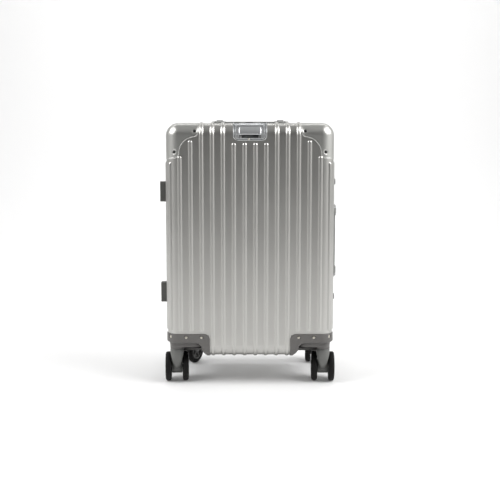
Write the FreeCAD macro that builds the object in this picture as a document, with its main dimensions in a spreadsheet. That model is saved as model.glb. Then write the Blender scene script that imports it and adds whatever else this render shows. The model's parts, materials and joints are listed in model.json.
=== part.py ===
"""Ribbed aluminium cabin suitcase on four twin-wheel casters.

Frame: millimetres, +Z up, origin on the floor under the middle of the case.
-Y is the back (trolley handle side), +Y the lid, +X the latch side, -X the hinge side.
"""
import FreeCAD, Part
import math
import os
import re
import Sketcher

Vector = FreeCAD.Vector
Rotation = FreeCAD.Rotation
Placement = FreeCAD.Placement

SIZES = {
    # case body, without ribs
    "half_width": 170, "face": 108, "shell_bottom": 60, "shell_top": 536,
    "corner_radius": 28, "edge_radius": 26, "wall": 1.2,
    # ribs
    "rib_pitch": 21.75, "rib_width": 8.4, "rib_height": 2, "side_rib_start": 82,
    "cup_rib_top": 495, "tall_rib_top": 500, "middle_rib_top": 469, "corner_rib_top": 457,
    "low_rib_end": 112, "side_rib_top": 460,
    # frames at the parting line
    "parting": 14, "seam": 0.5, "frame_band": 11.5, "frame_proud": 1, "frame_depth": 5,
    "lap_length": 12, "lap_thickness": 2, "seal_outer": 1.6, "seal_inner": 3.4, "seal_play": 0.5,
    "groove_depth": 1.5, "seal_proud": 0.3,
    # corner caps
    "cap_thickness": 1.2, "cap_edge": 103, "cap_bottom": 463, "lobe_radius": 11, "notch_radius": 34.6,
    # caster housings and casters
    "housing_proud": 2, "housing_inner": 82, "housing_depth": 78, "housing_top": 108,
    "housing_corner": 12, "housing_wall": 3, "well_top": 88, "well_inner": 91, "well_depth": 66.5,
    "well_corner": 14, "king_x": 152, "king_y": 82, "neck_radius": 14, "neck_bottom": 73,
    "pin_radius": 5, "running_fit": 0.05, "ring_radius": 7, "ring_low": 63.3, "ring_high": 65.7,
    "ring_play": 0.35, "pin_head_radius": 8, "pin_head": 3, "pin_low": 61.5, "socket_low": 61.2,
    "crown_radius": 14, "crown_low": 60, "crown_gap": 0.3, "trail": 20, "axle_height": 30.5,
    "tyre_radius": 30.5, "tyre_width": 12, "tyre_edge": 3, "rim_radius": 22, "wheel_offset": 17.5,
    "hub_width": 11, "hub_skin": 1.5, "axle_radius": 3, "boss_radius": 13, "boss_width": 22,
    "arm_width": 15,
    # carry handles, measured from the wall that they stand on
    "handle_y": -20, "handle_z": 293.5, "pivot_height": 7.8, "knuckle_radius": 6.2,
    "knuckle_inner": 57, "knuckle_outer": 70.3, "ear_gap": 0.4, "mount_inner": 41,
    "mount_outer": 84, "mount_width": 20, "mount_floor": 1, "ear_height": 10,
    "handle_pin_radius": 1.5, "grip_low": 2.3, "side_grip_low": 4.6, "grip_thickness": 2.6,
    "grip_near": 18, "grip_far": 40,
    # trolley handle
    "cup_half": 34, "cup_bottom": 499, "cup_corner": 10, "cup_depth": 42, "cup_wall": 3,
    "cup_proud": 0.6, "slot_half": 20.5, "slot_low": 505, "slot_high": 511, "trolley_x": 22,
    "trolley_y": -85, "outer_tube": 8.2, "outer_bore": 7, "middle_tube": 6.5, "middle_bore": 5.4,
    "inner_tube": 5, "inner_bore": 4, "push_rod": 1.5, "tube_low": 65, "grip_play": 0.5,
    "grip_inset": 1.5, "plate_half": 21.5, "plate_proud": 0.5, "stack_gap": 0.3,
    "button_half": 8.6, "button_depth": 5.5, "button_y": -80.5, "button_top": 537.5,
    "bar_low": 528.5, "bar_high": 531.5, "bar_half": 24, "cavity_low": 524, "cavity_high": 533,
    "tube_step": 5,
    # latches on the +X side
    "latch_spread": 125.5, "latch_half": 22, "latch_pivot_x": 177, "latch_pivot_y": -6,
    "latch_knuckle": 3.4, "latch_pin": 1.5, "latch_base_top": 173, "lever_end": 33,
    "lever_proud": 15, "ear_thickness": 3.6, "claw_low": 174, "keeper_top": 173.6,
    # hinges and feet on the -X side
    "hinge_x": 176.5, "hinge_radius": 4, "hinge_pin": 2, "leaf": 1.6, "hinge_spread": 150,
    "knuckle_length": 18, "foot_spread": 104.5, "foot_half": 21, "foot_y": 60, "foot_width": 22,
    "foot_proud": 15, "foot_round": 5,
    # rivets
    "rivet_radius": 3.4, "rivet_tip": 2.2, "rivet_height": 1.3, "housing_rivet_z": 101,
    "rounding_angle": 46,
    # lining
    "lining_gap": 6, "lining_wall": 1.5, "lining_back": 64, "lining_edge": 20,
    "lining_notch": 77, "lining_step": 97,
}

doc = FreeCAD.newDocument("suitcase")
sheet = doc.addObject("Spreadsheet::Sheet", "dims")
for row, (alias, value) in enumerate(SIZES.items(), start=1):
    sheet.set(f"A{row}", alias)
    sheet.set(f"B{row}", str(value))
    sheet.setAlias(f"B{row}", alias)
doc.recompute()

SUB_PARTS = []


def bound(expression):
    """Write an expression of bare aliases as one that names the sheet."""
    return re.sub(r"[a-z_]+", lambda word: f"dims.{word[0]}" if word[0] in SIZES else word[0],
                  str(expression))


def size(expression):
    return float(sheet.evalExpression(bound(expression)))


def keep(label, shape_object):
    """Name a finished sub-part, so that it is exported."""
    shape_object.Label = label
    SUB_PARTS.append(shape_object)
    return shape_object


def place(shape_object, base, turn=Rotation()):
    shape_object.Placement = Placement(Vector(), turn)
    for axis, value in zip("xyz", base):
        shape_object.setExpression(f"Placement.Base.{axis}", bound(value))
    return shape_object


# ---- primitives and booleans bound to the sheet

def block(x_span, y_span, z_span, name="block"):
    """A box from a (low, high) pair of expressions on each axis."""
    box = doc.addObject("Part::Box", name)
    for side, (low, high) in zip(("Length", "Width", "Height"), (x_span, y_span, z_span)):
        box.setExpression(side, bound(f"({high}) - ({low})"))
    return place(box, (x_span[0], y_span[0], z_span[0]))


def rod(radius, length, base, direction=Vector(0, 0, 1), name="rod"):
    cylinder = doc.addObject("Part::Cylinder", name)
    cylinder.setExpression("Radius", bound(radius))
    cylinder.setExpression("Height", bound(length))
    return place(cylinder, base, Rotation(Vector(0, 0, 1), direction))


def fuse(*pieces, name="fuse"):
    joined = doc.addObject("Part::MultiFuse", name)
    joined.Shapes = list(pieces)
    return joined


def cut(base, *tools, name="cut"):
    remains = doc.addObject("Part::Cut", name)
    remains.Base = base
    remains.Tool = tools[0] if len(tools) == 1 else fuse(*tools)
    return remains


def common(first, second, name="common"):
    shared = doc.addObject("Part::MultiCommon", name)
    shared.Shapes = [first, second]
    return shared


def group(*pieces, name="group"):
    compound = doc.addObject("Part::Compound", name)
    compound.Links = list(pieces)
    return compound


def mirrored(source, normal=Vector(1, 0, 0)):
    mirror = doc.addObject("Part::Mirroring", "mirrored")
    mirror.Source = source
    mirror.Normal = normal
    return mirror


# ---- sketched bodies

def add_segment(sketch, start, end, radius):
    """Add a line, or an arc that turns left (radius > 0) or right (< 0). Return its two ends."""
    if not radius:
        return sketch.addGeometry(Part.LineSegment(start, end), False), 1, 2
    chord = end - start
    left = Vector(-chord.y, chord.x, 0).normalize()
    reach = math.sqrt(radius ** 2 - (chord.Length / 2) ** 2)
    centre = (start + end) / 2 + left * math.copysign(reach, radius)
    first, last = (start, end) if radius > 0 else (end, start)
    angles = [math.atan2(point.y - centre.y, point.x - centre.x) for point in (first, last)]
    circle = Part.Circle(centre, Vector(0, 0, 1), abs(radius))
    arc = sketch.addGeometry(Part.ArcOfCircle(circle, *angles), False)
    return (arc, 1, 2) if radius > 0 else (arc, 2, 1)


def add_loop(sketch, outline):
    """Close a loop through (x, y) or (x, y, radius of the arc that leaves the point)."""
    points = [Vector(size(corner[0]), size(corner[1]), 0) for corner in outline]
    radii = [corner[2] if len(corner) > 2 else None for corner in outline]
    segments = []
    for index, start in enumerate(points):
        end = points[(index + 1) % len(points)]
        segments.append(add_segment(sketch, start, end, radii[index] and size(radii[index])))
    for index, (geometry, begin, _) in enumerate(segments):
        before, _, before_end = segments[index - 1]
        sketch.addConstraint(Sketcher.Constraint("Coincident", before, before_end, geometry, begin))
        for kind, value, expression in zip(("DistanceX", "DistanceY"), points[index],
                                           outline[index][:2]):
            row = sketch.addConstraint(Sketcher.Constraint(kind, -1, 1, geometry, begin, value))
            sketch.setExpression(f"Constraints[{row}]", bound(expression))
        if radii[index]:
            radius = abs(size(radii[index]))
            row = sketch.addConstraint(Sketcher.Constraint("Radius", geometry, radius))
            sketch.setExpression(f"Constraints[{row}]", bound(f"abs({radii[index]})"))


def sketched(role, loops, offset, name):
    """A body whose one sketch lies on an origin plane, moved along the plane's normal."""
    body = doc.addObject("PartDesign::Body", name)
    plane = next(item for item in body.Origin.OriginFeatures if item.Role == role)
    sketch = body.newObject("Sketcher::SketchObject", f"{name}_sketch")
    sketch.AttachmentSupport = (plane, [""])
    sketch.MapMode = "FlatFace"
    sketch.setExpression("AttachmentOffset.Base.z", bound(offset))
    for loop in loops:
        add_loop(sketch, loop)
    return body, sketch


def prism(low, high, *loops, name="prism"):
    """Pad XZ loops from Y = low to Y = high. The XZ plane's normal is -Y."""
    body, sketch = sketched("XZ_Plane", loops, f"-({high})", name)
    pad = body.newObject("PartDesign::Pad", f"{name}_pad")
    pad.Profile = sketch
    pad.setExpression("Length", bound(f"({high}) - ({low})"))
    return body


def rounded(half, low, high, radius):
    """A rounded rectangle about X = 0, anticlockwise."""
    return [(f"-({half}) + {radius}", low), (f"{half} - ({radius})", low, radius),
            (half, f"{low} + {radius}"), (half, f"{high} - ({radius})", radius),
            (f"{half} - ({radius})", high), (f"-({half}) + {radius}", high, radius),
            (f"-({half})", f"{high} - ({radius})"), (f"-({half})", f"{low} + {radius}", radius)]


def case_outline(offset):
    """The case's outline seen from the back, moved outwards by offset."""
    return rounded(f"half_width + ({offset})", f"shell_bottom - ({offset})",
                   f"shell_top + ({offset})", f"(corner_radius + ({offset}))")


def half_case(side, offset, end, name="half_case"):
    """A solid half of the case, side -1 back or 1 lid, that ends at Y = end."""
    face = f"face + ({offset})"
    if side < 0:
        body = prism(f"-({face})", end, case_outline(offset), name=name)
    else:
        body = prism(end, face, case_outline(offset), name=name)
    doc.recompute()
    outer = side * size(face)
    rim = [f"Edge{number}" for number, edge in enumerate(body.Shape.Edges, start=1)
           if abs(edge.BoundBox.YMin - outer) < 0.01 and abs(edge.BoundBox.YMax - outer) < 0.01]
    pad = body.Tip
    fillet = body.newObject("PartDesign::Fillet", f"{name}_edge")
    fillet.Base = (pad, rim)
    fillet.setExpression("Radius", bound(f"edge_radius + ({offset})"))
    return body


def turned(outline, name="turned"):
    """Revolve a YZ-plane outline of (radius, x) points about the X axis."""
    body, sketch = sketched("XY_Plane", [[(x, radius, *bulge) for radius, x, *bulge in outline]],
                            "0", name)
    revolution = body.newObject("PartDesign::Revolution", f"{name}_revolution")
    revolution.Profile = sketch
    revolution.ReferenceAxis = (sketch, ["H_Axis"])
    revolution.Angle = 360
    return body


# ---- shells

def back_or_lid(side):
    return "back" if side < 0 else "front"


def shell_end(side):
    return f"parting + {side} * frame_band"


def rib_stretch(side, index):
    """The lowest and highest Z of a face rib, counted from the middle."""
    over = ("shell_bottom - 10", "shell_top + 10")
    low = over[0] if index < 4 else "low_rib_end"
    short_top = "cup_rib_top" if side < 0 else over[1]
    tops = [short_top, short_top, over[1], over[1], over[1], "tall_rib_top", "middle_rib_top"]
    return low, tops[index]


def rib_slabs(side):
    """Upright slabs that cut the ribs out of a slightly larger case."""
    near, far = sorted((f"{side} * (face + 5)", shell_end(side)), key=size)
    slabs = []
    for index in range(7):
        middle = f"{index + 0.5} * rib_pitch"
        span = (f"{middle} - rib_width / 2", f"{middle} + rib_width / 2")
        right = block(span, (near, far), rib_stretch(side, index))
        slabs += [right, mirrored(right)]
    for index in range(4 if side < 0 else 3):
        middle = f"{side} * (side_rib_start - {index} * rib_pitch)"
        span = (f"{middle} - rib_width / 2", f"{middle} + rib_width / 2")
        right = block(("half_width - edge_radius", "half_width + 5"), span,
                      ("low_rib_end", "side_rib_top"))
        slabs += [right, mirrored(right)]
    corner = block(("0", "40"), ("-rib_width / 2", "rib_width / 2"), ("low_rib_end", "corner_rib_top"))
    place(corner, (f"half_width - edge_radius + rib_width / 2 * {math.sqrt(0.5) * side}",
                   f"{side} * (face - edge_radius) - rib_width / 2 * {math.sqrt(0.5)}",
                   "low_rib_end"), Rotation(Vector(0, 0, 1), 45 * side))
    return slabs + [corner, mirrored(corner)]


def clear_zones(side):
    """Flat places without ribs under the handle mounts and the feet."""
    feet_y = f"{side} * foot_y"
    zones = [block(("-half_width - 5", "-half_width + 1"),
                   (f"{feet_y} - foot_width / 2 - 1", f"{feet_y} + foot_width / 2 + 1"),
                   (f"handle_z + {up} * foot_spread - foot_half - 1",
                    f"handle_z + {up} * foot_spread + foot_half + 1")) for up in (-1, 1)]
    if side > 0:
        return zones
    across = ("handle_y - mount_width / 2 - 1", "handle_y + mount_width / 2 + 1")
    along = ("mount_inner - 2", "mount_outer + 2")
    back_along = ("-mount_outer - 2", "-mount_inner + 2")
    for low, high in (along, back_along):
        zones.append(block((low, high), across, ("shell_top - 1", "shell_top + 5")))
        zones.append(block(("half_width - 1", "half_width + 5"), across,
                           (f"handle_z + {low}", f"handle_z + {high}")))
    return zones


def housing_zone(side, proud):
    """The right bottom corner that a caster housing fills, seen as a block with one round corner."""
    near, far = sorted((f"{side} * (face + {proud} + 1)", f"{side} * (face - housing_depth)"), key=size)
    outline = [("housing_inner", "shell_bottom - 10"), ("half_width + 10", "shell_bottom - 10"),
               ("half_width + 10", "housing_top"),
               ("housing_inner + housing_corner", "housing_top", "housing_corner"),
               ("housing_inner", "housing_top - housing_corner")]
    return prism(near, far, outline, name="housing_zone")


def cup_zone(inset, floor, depth):
    """The U-shaped opening for the trolley handle in the top edge of the back."""
    radius = f"(cup_corner - {inset})"
    half = f"(cup_half - {inset})"
    outline = [(f"-{half} + {radius}", floor), (f"{half} - {radius}", floor, radius),
               (half, f"{floor} + {radius}"), (half, "shell_top + 10"), (f"-{half}", "shell_top + 10"),
               (f"-{half}", f"{floor} + {radius}", radius)]
    return prism("-face - 10", f"-face + {depth}", outline, name="cup_zone")


def shell(side):
    end = shell_end(side)
    skin = cut(half_case(side, "0", end), half_case(side, "-wall", f"{end} - {side} * 5"))
    ribs = cut(common(half_case(side, "rib_height", end), group(*rib_slabs(side))),
               half_case(side, "-wall / 2", f"{end} - {side} * 5"), *clear_zones(side))
    corner = housing_zone(side, "housing_proud")
    openings = [corner, mirrored(corner)]
    if side < 0:
        openings.append(cup_zone("0", "cup_bottom", "cup_depth"))
    keep(f"{back_or_lid(side)}_shell", cut(fuse(skin, ribs), *openings))


def ring(outer, inner, low, high):
    """A closed frame that follows the case's outline between two offsets."""
    return prism(low, high, case_outline(outer), case_outline(inner), name="ring")


def frame(side):
    """The extruded frame round one half, with a lap inside the shell and a seal groove."""
    face, edge = f"parting + {side} * seam", shell_end(side)
    band = ring("frame_proud", "-frame_depth", *sorted((face, edge), key=size))
    lap = ring("-wall", "-wall - lap_thickness",
               *sorted((edge, f"{edge} + {side} * lap_length"), key=size))
    play = "0" if side < 0 else "seal_play"
    groove = ring(f"-seal_outer + {play}", f"-seal_inner - {play}",
                  *sorted((f"{face} - {side} * 1", f"{face} + {side} * groove_depth"), key=size))
    keep(f"{back_or_lid(side)}_frame", cut(fuse(band, lap), groove))


def frame_seal():
    keep("frame_seal", ring("-seal_outer", "-seal_inner", "parting - seam - groove_depth",
                            "parting + seal_proud"))


# ---- corner caps and caster housings

def cap_outline():
    """Two lobes round the rivets, joined by a hollow arc."""
    return [("cap_edge", "shell_top + 10"), ("cap_edge", "shell_top - 16", "lobe_radius"),
            ("cap_edge + 11", "shell_top - 27.5"),
            ("cap_edge + 12", "shell_top - 27.7", "-notch_radius"),
            ("half_width - 25.6", "cap_bottom + 15"),
            ("half_width - 25.5", "cap_bottom + 13", "lobe_radius + 2"),
            ("half_width - 13", "cap_bottom"), ("half_width + 10", "cap_bottom"),
            ("half_width + 10", "shell_top + 10")]


def corner_caps(side):
    end = shell_end(side)
    near, far = sorted((f"{side} * (face + 5)", end), key=size)
    layer = cut(half_case(side, "cap_thickness", end), half_case(side, "0", f"{end} - {side} * 5"))
    cap = common(layer, prism(near, far, cap_outline(), name="cap_zone"))
    keep(f"{back_or_lid(side)}_corner_caps", group(cap, mirrored(cap)))


def well(side, extra):
    """The wheel well under a right housing, made larger by extra."""
    near, far = sorted((f"{side} * (face + 10)", f"{side} * (face - well_depth - {extra})"), key=size)
    radius = f"(well_corner + {extra})"
    outline = [(f"well_inner - {extra}", "shell_bottom - 10"), ("half_width + 10", "shell_bottom - 10"),
               ("half_width + 10", f"well_top + {extra}"),
               (f"well_inner - {extra} + {radius}", f"well_top + {extra}", radius),
               (f"well_inner - {extra}", f"well_top + {extra} - {radius}")]
    return prism(near, far, outline, name="well")


def caster_housings(side):
    """Moulded corners with a wheel well and a round neck for the kingpin."""
    inside = f"{side} * (face - housing_depth)"
    solid = common(half_case(side, "housing_proud", f"{inside} - {side} * 5"),
                   housing_zone(side, "housing_proud"))
    room = cut(half_case(side, "-wall", f"{inside} - {side} * 10"), well(side, "housing_wall"))
    neck_base = ("king_x", f"{side} * king_y", "neck_bottom")
    neck = rod("neck_radius", "well_top + housing_wall - neck_bottom", neck_base)
    bore = rod("pin_radius", "40", ("king_x", f"{side} * king_y", "neck_bottom - 5"))
    right = cut(fuse(cut(solid, room, well(side, "0")), neck), bore)
    keep(f"{back_or_lid(side)}_right_caster_housing", right)
    keep(f"{back_or_lid(side)}_left_caster_housing", mirrored(right))


def kingpins(side):
    """Headed pins with a snap ring that the caster forks turn on."""
    pins = []
    for across in (-1, 1):
        x, y = f"{across} * king_x", f"{side} * king_y"
        pins.append(fuse(
            rod("pin_radius", "well_top + housing_wall - pin_low", (x, y, "pin_low")),
            rod("ring_radius", "ring_high - ring_low", (x, y, "ring_low")),
            rod("pin_head_radius", "pin_head", (x, y, "well_top + housing_wall"))))
    keep(f"{back_or_lid(side)}_kingpins", group(*pins))


# ---- casters, built about the kingpin's axis with the wheels trailing towards +Y

def caster_fork():
    crown = rod("crown_radius", "neck_bottom - crown_gap - crown_low", ("0", "0", "crown_low"))
    body, sketch = sketched("YZ_Plane", [[
        ("-crown_radius + 1", "crown_low + 4"), ("-crown_radius + 2", "crown_low - 4"),
        ("trail - boss_radius + 1", "axle_height - 5"), ("trail + boss_radius - 1", "axle_height - 5"),
        ("trail + boss_radius - 1", "axle_height + 12"), ("crown_radius - 1", "crown_low + 4")]],
        "-arm_width / 2", "arm")
    pad = body.newObject("PartDesign::Pad", "arm_pad")
    pad.Profile = sketch
    pad.setExpression("Length", bound("arm_width"))
    boss = rod("boss_radius", "boss_width", ("-boss_width / 2", "trail", "axle_height"), Vector(1, 0, 0))
    socket = rod("pin_radius + running_fit", "20", ("0", "0", "socket_low"))
    cavity = rod("ring_radius + ring_play", "ring_high - ring_low + 0.6", ("0", "0", "ring_low - 0.3"))
    bore = rod("axle_radius", "boss_width + 10", ("-boss_width / 2 - 5", "trail", "axle_height"),
               Vector(1, 0, 0))
    return cut(fuse(crown, body, boss), socket, cavity, bore)


def caster_axle():
    half = "wheel_offset + hub_width / 2 - hub_skin - 0.5"
    return rod("axle_radius", f"2 * ({half})", (f"-({half})", "trail", "axle_height"), Vector(1, 0, 0))


def wheel_parts(across):
    """A hub with a blind bore, and the tyre moulded round it."""
    middle = f"{across} * wheel_offset"
    inner = f"{middle} - {across} * hub_width / 2"
    outer = f"{middle} + {across} * hub_width / 2"
    bore = "axle_radius + running_fit"
    hub = turned([(bore, inner), (bore, f"{outer} - {across} * hub_skin"),
                  ("0", f"{outer} - {across} * hub_skin"), ("0", outer), ("rim_radius - 2", outer),
                  ("rim_radius", f"{outer} - {across} * 2"), ("rim_radius", inner)], name="hub")
    low, high = f"{middle} - tyre_width / 2", f"{middle} + tyre_width / 2"
    tyre = turned([("rim_radius", low), ("tyre_radius - tyre_edge", low, "-tyre_edge"),
                   ("tyre_radius", f"{low} + tyre_edge"),
                   ("tyre_radius", f"{high} - tyre_edge", "-tyre_edge"),
                   ("tyre_radius - tyre_edge", high), ("rim_radius", high)], name="tyre")
    return hub, tyre


def caster(name, across, side, swivel):
    """One caster: fork and axle, and two wheels that turn on their own."""
    pieces = {"fork": caster_fork(), "axle": caster_axle()}
    for wheel, hand in (("left", -1), ("right", 1)):
        pieces[f"{wheel}_hub"], pieces[f"{wheel}_tyre"] = wheel_parts(hand)
    turn = Rotation(Vector(0, 0, 1), swivel)
    for part, piece in pieces.items():
        base = (f"{across} * king_x", f"{side} * king_y", "0")
        if part in ("fork", "axle"):
            piece = group(piece)
        elif part.endswith(("hub", "tyre")):
            base = (f"{across} * king_x - trail * {math.sin(math.radians(swivel))}",
                    f"{side} * king_y + trail * {math.cos(math.radians(swivel))}", "axle_height")
        keep(f"{name}_{part}", place(piece, base, turn))


# ---- carry handles, built on a wall at Z = 0 with the hinge along X

def handle_mount():
    """A low dome with a slot for the handle's knuckle, at the +X end."""
    slot = ("knuckle_inner - ear_gap", "knuckle_outer + ear_gap")
    outline = [("mount_inner", "0"), ("mount_outer", "0"), ("mount_outer", "ear_height - 5"),
               ("mount_outer - 5", "ear_height"), (slot[1], "ear_height + 1"),
               (slot[1], "mount_floor"), (slot[0], "mount_floor"), (slot[0], "ear_height"),
               ("mount_inner + 14", "ear_height")]
    solid = prism("-mount_width / 2", "mount_width / 2", outline, name="handle_mount")
    bore = rod("handle_pin_radius", "mount_outer - mount_inner - 14",
               ("mount_inner + 10", "0", "pivot_height"), Vector(1, 0, 0))
    return cut(solid, bore)


def handle_pin():
    return rod("handle_pin_radius", "mount_outer - mount_inner - 14",
               ("mount_inner + 10", "0", "pivot_height"), Vector(1, 0, 0))


def handle_bail(low):
    """A flat grip on two arms, folded towards -Y, with its underside at low."""
    knuckle = rod("knuckle_radius", "knuckle_outer - knuckle_inner",
                  ("knuckle_inner", "0", "pivot_height"), Vector(1, 0, 0))
    arm = block(("knuckle_inner", "knuckle_outer"), ("-grip_far + 4", "0"),
                (low, f"{low} + grip_thickness"))
    grip = block(("-knuckle_outer", "knuckle_outer"), ("-grip_far", "-grip_near"),
                 (low, f"{low} + grip_thickness"))
    bore = rod("handle_pin_radius + running_fit", "2 * mount_outer", ("-mount_outer", "0", "pivot_height"),
               Vector(1, 0, 0))
    return cut(fuse(knuckle, mirrored(knuckle), arm, mirrored(arm), grip), bore)


def carry_handles():
    """The same handle on the top and on the latch side. Returns the pins."""
    spots = {"top_handle": (("0", "handle_y", "shell_top"), Rotation(), "grip_low"),
             "side_handle": (("half_width", "handle_y", "handle_z"), Rotation(Vector(0, 1, 0), 90),
                             "side_grip_low")}
    mounts, pins = [], []
    for label, (base, turn, low) in spots.items():
        keep(label, place(group(handle_bail(low)), base, turn))
        for make, pieces in ((handle_mount, mounts), (handle_pin, pins)):
            right = make()
            pieces.append(place(group(right, mirrored(right)), base, turn))
    keep("handle_mounts", group(*mounts))
    return pins


# ---- trolley handle

def tube_pair(outer, inner, low, high):
    right = cut(rod(outer, f"({high}) - ({low})", ("trolley_x", "trolley_y", low)),
                rod(inner, f"({high}) - ({low}) + 2", ("trolley_x", "trolley_y", f"{low} - 1")))
    return group(right, mirrored(right))


def trolley_bezel():
    """The cup in the top edge, with a narrow finger slot above its lower lip."""
    solid = common(half_case(-1, "cup_proud", "0"), cup_zone("0", "cup_bottom", "cup_depth"))
    pocket = block(("-cup_half + cup_wall", "cup_half - cup_wall"),
                   ("-face - 5", "-face + cup_depth - cup_wall"), ("slot_high", "shell_top + 5"))
    slot = block(("-slot_half", "slot_half"), ("-face - 5", "-face + cup_depth - cup_wall"),
                 ("slot_low", "slot_high + 1"))
    bore = rod("outer_tube", "30", ("trolley_x", "trolley_y", "cup_bottom - 5"))
    keep("trolley_bezel", cut(solid, pocket, slot, bore, mirrored(bore)))


def trolley_tubes():
    keep("trolley_outer_tubes", tube_pair("outer_tube", "outer_bore", "tube_low", "slot_high - stack_gap"))
    keep("trolley_middle_tubes", tube_pair("middle_tube", "middle_bore", "tube_low + tube_step",
                                           "slot_high - stack_gap"))
    keep("trolley_inner_tubes", tube_pair("inner_tube", "inner_bore", "tube_low + 2 * tube_step",
                                          "cavity_low"))


def trolley_grip():
    """The pull handle that fills the cup, with a raised plate and a hollow for the button."""
    inner_y = "-face + cup_depth - cup_wall - grip_play"
    half = "cup_half - cup_wall - grip_play"
    low = "slot_high + stack_gap"
    main = common(half_case(-1, "-grip_inset", "0"),
                  block((f"-({half})", half), ("-face - 5", inner_y), (low, "shell_top + 5")))
    plate = common(half_case(-1, "plate_proud", "0"),
                   block(("-plate_half", "plate_half"), ("-face - 5", inner_y), (low, "shell_top + 5")))
    cavity = block(("-bar_half - 1", "bar_half + 1"), ("trolley_y - 4", "trolley_y + 4"),
                   ("cavity_low", "cavity_high"))
    hole = block(("-button_half - 0.4", "button_half + 0.4"),
                 ("button_y - button_depth - 0.4", "button_y + button_depth + 0.4"),
                 ("bar_low - 4", "shell_top + 5"))
    bore = rod("inner_tube", f"cavity_low - ({low}) + 1", ("trolley_x", "trolley_y", f"{low} - 1"))
    keep("trolley_grip", cut(fuse(main, plate), cavity, hole, bore, mirrored(bore)))


def trolley_button():
    cap = block(("-button_half", "button_half"), ("button_y - button_depth", "button_y + button_depth"),
                ("bar_low", "button_top"))
    bar = block(("-bar_half", "bar_half"), ("trolley_y - 3", "trolley_y + 3"), ("bar_low", "bar_high"))
    keep("trolley_button", fuse(cap, bar))
    right = rod("push_rod", "bar_low - (tube_low + 4 * tube_step)",
                ("trolley_x", "trolley_y", "tube_low + 4 * tube_step"))
    keep("trolley_push_rods", group(right, mirrored(right)))


# ---- latches, hinges, feet

def latch(up):
    """The base, lever, keeper and pin of one latch, up = 1 for the upper one."""
    middle = f"(handle_z + {up} * latch_spread)"
    base = fuse(
        block(("half_width + frame_proud", "latch_base_top"), ("latch_pivot_y - 5", "parting - 1"),
              (f"{middle} - latch_half - 4", f"{middle} + latch_half + 4")),
        block(("half_width", "half_width + frame_proud"), ("latch_pivot_y - 5", "parting - frame_band"),
              (f"{middle} - latch_half - 4", f"{middle} + latch_half + 4")),
        *[block(("half_width + frame_proud", "latch_pivot_x + 3"),
                ("latch_pivot_y - 4", "latch_pivot_y + 4"),
                (f"{middle} + {end} * (latch_half + 2.2) - ear_thickness / 2",
                 f"{middle} + {end} * (latch_half + 2.2) + ear_thickness / 2")) for end in (-1, 1)])
    pin_spot = ("latch_pivot_x", "latch_pivot_y", f"{middle} - latch_half - 4")
    pin = rod("latch_pin", "2 * latch_half + 8", pin_spot)
    bore = rod("latch_pin + running_fit", "2 * latch_half + 8", pin_spot)
    base = cut(base, rod("latch_pin", "2 * latch_half + 8", pin_spot))
    across = (f"{middle} - latch_half", f"{middle} + latch_half")
    plate_low = "latch_pivot_x"
    plate_high = "latch_pivot_x + latch_knuckle"
    knuckle = rod("latch_knuckle", "2 * latch_half", ("latch_pivot_x", "latch_pivot_y", across[0]))
    plate = block((plate_low, plate_high), ("latch_pivot_y", "lever_end"), across)
    claw = block(("claw_low", f"{plate_low} + 1"), ("lever_end - 3", "lever_end"),
                 (f"{middle} - 15", f"{middle} + 15"))
    dome = rod("6.5", "half_width + lever_proud - latch_pivot_x", (plate_low, "parting", middle),
               Vector(1, 0, 0))
    lever = cut(fuse(knuckle, plate, claw, dome), bore)
    keeper = block(("half_width + frame_proud", "keeper_top"), ("parting + 3", "lever_end - 5"),
                   (f"{middle} - 15", f"{middle} + 15"))
    return base, lever, keeper, pin


def latches():
    bases, keepers, pins = [], [], []
    for label, up in (("upper_latch_lever", 1), ("lower_latch_lever", -1)):
        base, lever, keeper, pin = latch(up)
        keep(label, lever)
        bases.append(base)
        keepers.append(keeper)
        pins.append(pin)
    keep("latch_bases", group(*bases))
    keep("latch_keepers", group(*keepers))
    return pins


def hinge_leaf(side, up):
    """A leaf on the frame, with two knuckles on the back and one on the lid."""
    middle = f"(handle_z + {up} * hinge_spread)"
    spans = [(-1.5, -0.5), (0.5, 1.5)] if side < 0 else [(-0.5, 0.5)]
    bore = "hinge_pin" if side < 0 else "hinge_pin + running_fit"
    pieces = [block(("-half_width - frame_proud - leaf", "-half_width - frame_proud"),
                    sorted((f"parting + {side} * 2.3", f"parting + {side} * 10.5"), key=size),
                    (f"{middle} - 1.5 * knuckle_length", f"{middle} + 1.5 * knuckle_length"))]
    for low, high in spans:
        along = (f"{middle} + {low} * knuckle_length + 0.2", f"{middle} + {high} * knuckle_length - 0.2")
        pieces.append(rod("hinge_radius", "knuckle_length - 0.4", ("-hinge_x", "parting", along[0])))
        web = sorted((f"parting + {side} * hinge_radius", f"parting + {side} * (hinge_radius - leaf)"),
                     key=size)
        pieces.append(block(("-hinge_x", "-half_width - frame_proud"), web, along))
    hole = rod(bore, "4 * knuckle_length", ("-hinge_x", "parting", f"{middle} - 2 * knuckle_length"))
    return cut(fuse(*pieces), hole)


def hinges():
    for side in (-1, 1):
        keep(f"hinge_{back_or_lid(side)}_leaves", group(*[hinge_leaf(side, up) for up in (-1, 1)]))
    return [rod("hinge_pin", "3 * knuckle_length",
                ("-hinge_x", "parting", f"handle_z + {up} * hinge_spread - 1.5 * knuckle_length"))
            for up in (-1, 1)]


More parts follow.
